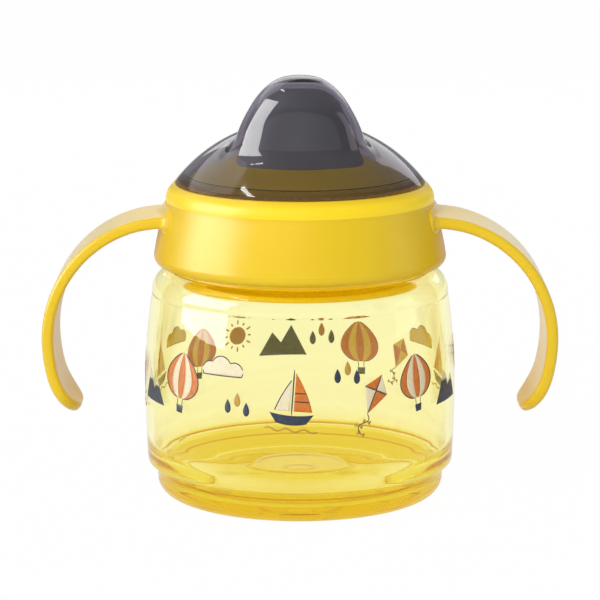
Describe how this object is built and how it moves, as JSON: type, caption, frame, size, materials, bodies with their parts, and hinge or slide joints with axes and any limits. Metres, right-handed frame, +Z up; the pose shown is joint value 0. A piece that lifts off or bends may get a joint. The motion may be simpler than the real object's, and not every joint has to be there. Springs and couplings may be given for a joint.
{
  "type": "sippy cup",
  "caption": "Small training cup: clear barrelled tumbler, screw collar with two open strap handles, soft oval spout and see-through travel cap.",
  "frame": {"origin": "centre of the tumbler's base, on the surface it stands on", "axes": "+Z up along the tumbler's axis; the handles point along +X and -X; the spout lies towards -Y"},
  "size_m": [0.129, 0.0784, 0.1075],
  "materials": {
    "clear_body": "clear, gloss, light yellow tint",
    "collar_plastic": "gloss yellow",
    "spout_silicone": "soft silicone, satin grey",
    "valve_plastic": "white, satin",
    "seal_silicone": "soft silicone, translucent white",
    "cap_plastic": "smoky see-through gloss"
  },
  "bodies": {
    "tumbler": {"tumbler": "clear_body"},
    "seal": {"seal_ring": "seal_silicone"},
    "collar": {"handle_collar": "collar_plastic", "vent_valve": "seal_silicone"},
    "spout": {"spout": "spout_silicone"},
    "valve": {"valve_housing": "valve_plastic", "slit_valve": "seal_silicone"},
    "cap": {"travel_cap": "cap_plastic"}
  },
  "joints": [
    {"name": "lid_lift", "type": "slide", "parent": "tumbler", "child": "seal", "axis": [0, 0, 1], "range_m": [0, 0.03]},
    {"name": "collar_turn", "type": "hinge", "parent": "seal", "child": "collar", "pos_m": [0, 0, 0.0766], "axis": [0, 0, 1], "range_deg": [0, 900]},
    {"name": "cap_pull", "type": "slide", "parent": "collar", "child": "cap", "axis": [0, 0, 1], "range_m": [0, 0.04]},
    {"name": "spout_pull", "type": "slide", "parent": "collar", "child": "spout", "axis": [0, 0, -1], "range_m": [0, 0.028]},
    {"name": "valve_pull", "type": "slide", "parent": "spout", "child": "valve", "axis": [0, 0, -1], "range_m": [0, 0.016]}
  ],
  "couplings": [
    {"joint": "collar_turn", "follows": "lid_lift", "rad_per_m": 523.6}
  ]
}
